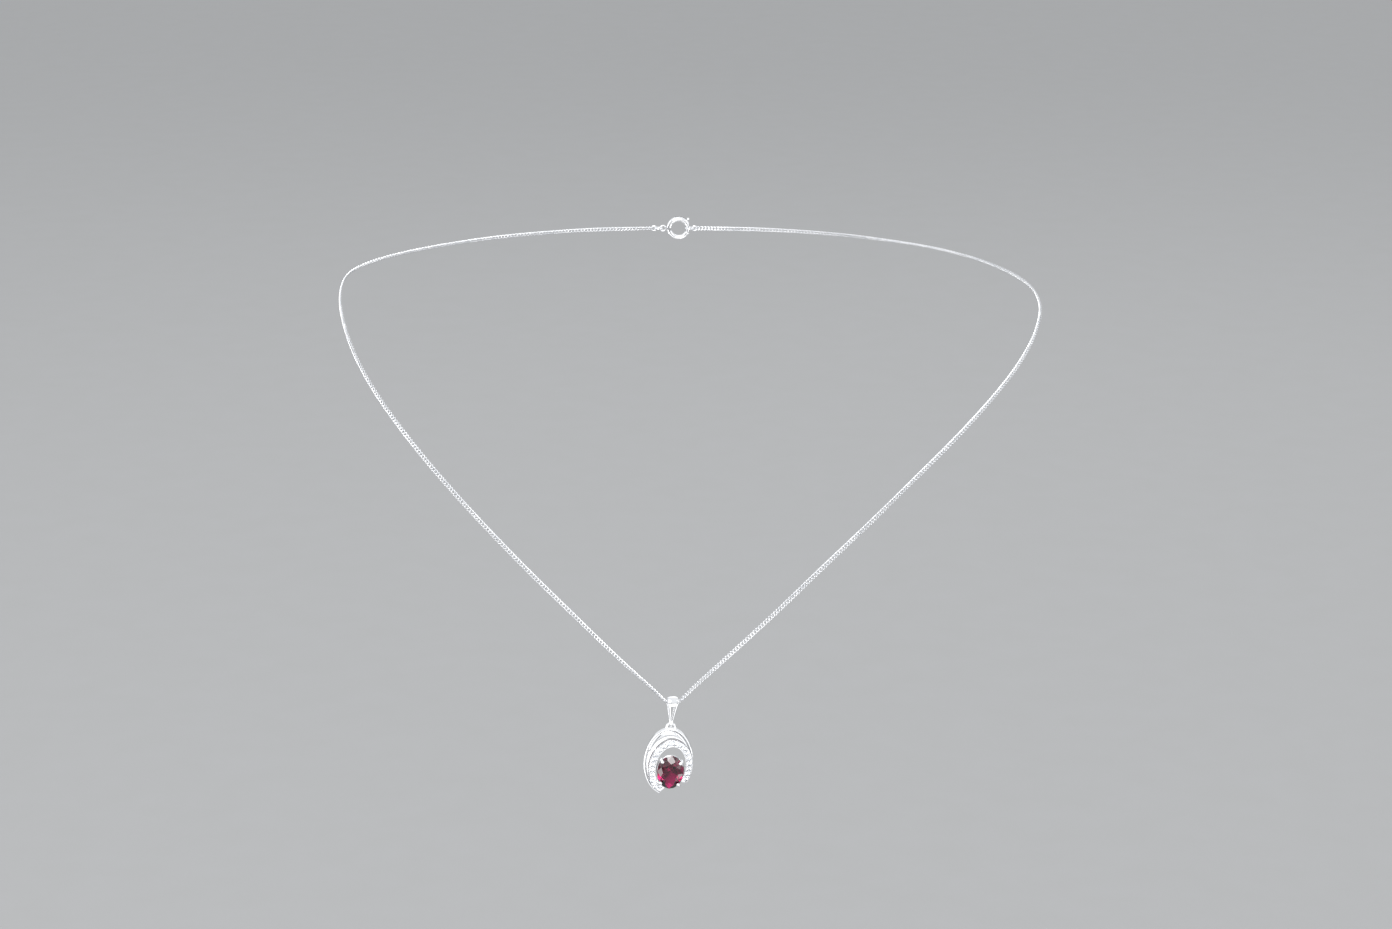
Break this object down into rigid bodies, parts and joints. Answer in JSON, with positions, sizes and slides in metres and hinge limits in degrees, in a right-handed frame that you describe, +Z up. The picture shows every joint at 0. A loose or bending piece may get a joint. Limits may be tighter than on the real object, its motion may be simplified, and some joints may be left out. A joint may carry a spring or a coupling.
{
  "type": "pendant necklace",
  "caption": "Fine curb chain with a spring-ring clasp, carrying an open oval pendant with a claw-set red oval stone and a row of small white stones.",
  "frame": {"origin": "the nape: on the chain's line, at the clasp, level with the chain's two ends", "axes": "+X to the viewer's right, +Y from the wearer's front to the back, +Z up; the chain lies as it is worn and the pendant hangs straight down"},
  "size_m": [0.1647, 0.0907, 0.1142],
  "materials": {
    "silver": "polished",
    "spring_steel": "satin",
    "ruby": "polished",
    "white_stone": "polished"
  },
  "bodies": {
    "chain": {"chain": "silver", "end_link_left": "silver", "end_link_right": "silver", "jump_ring": "silver", "catch_ring": "silver"},
    "clasp": {"clasp_case": "silver", "clasp_eye": "silver", "clasp_spring": "spring_steel"},
    "slider": {"clasp_slider": "silver"},
    "bail": {"bail": "silver"},
    "pendant": {"top_loop": "silver", "rim_wire": "silver", "crescent": "silver", "pave_strip": "silver", "gallery_rail": "silver", "claw_upper_left": "silver", "claw_upper_right": "silver", "claw_lower_right": "silver", "claw_lower_left": "silver", "centre_stone": "ruby", "pave_stone_01": "white_stone", "pave_stone_02": "white_stone", "pave_stone_03": "white_stone", "pave_stone_04": "white_stone", "pave_stone_05": "white_stone", "pave_stone_06": "white_stone", "pave_stone_07": "white_stone", "pave_stone_08": "white_stone", "pave_stone_09": "white_stone", "pave_stone_10": "white_stone", "pave_stone_11": "white_stone", "pave_stone_12": "white_stone", "pave_stone_13": "white_stone", "pave_stone_14": "white_stone", "pave_stone_15": "white_stone", "pave_stone_16": "white_stone", "pave_stone_17": "white_stone", "pave_stone_18": "white_stone", "pave_stone_19": "white_stone", "pave_stone_20": "white_stone", "pave_stone_21": "white_stone"}
  },
  "joints": [
    {"name": "bail_swing", "type": "hinge", "parent": "chain", "child": "bail", "pos_m": [0, -0.087, -0.08935], "axis": [1, 0, 0], "range_deg": [-40, 40]},
    {"name": "pendant_swing", "type": "hinge", "parent": "bail", "child": "pendant", "pos_m": [-0.0004, -0.087, -0.09435], "axis": [1, 0, 0], "range_deg": [-60, 60]},
    {"name": "clasp_roll", "type": "hinge", "parent": "chain", "child": "clasp", "pos_m": [0, 0, 0], "axis": [1, 0, 0], "range_deg": [-30, 30]},
    {"name": "thumb_slide", "type": "hinge", "parent": "clasp", "child": "slider", "pos_m": [0.00105, 0, 0], "axis": [0, -1, 0], "range_deg": [0, 60], "stiffness_Nm_per_rad": 0.0002, "springref_deg": -34.38, "deforming": ["clasp_spring"]}
  ]
}
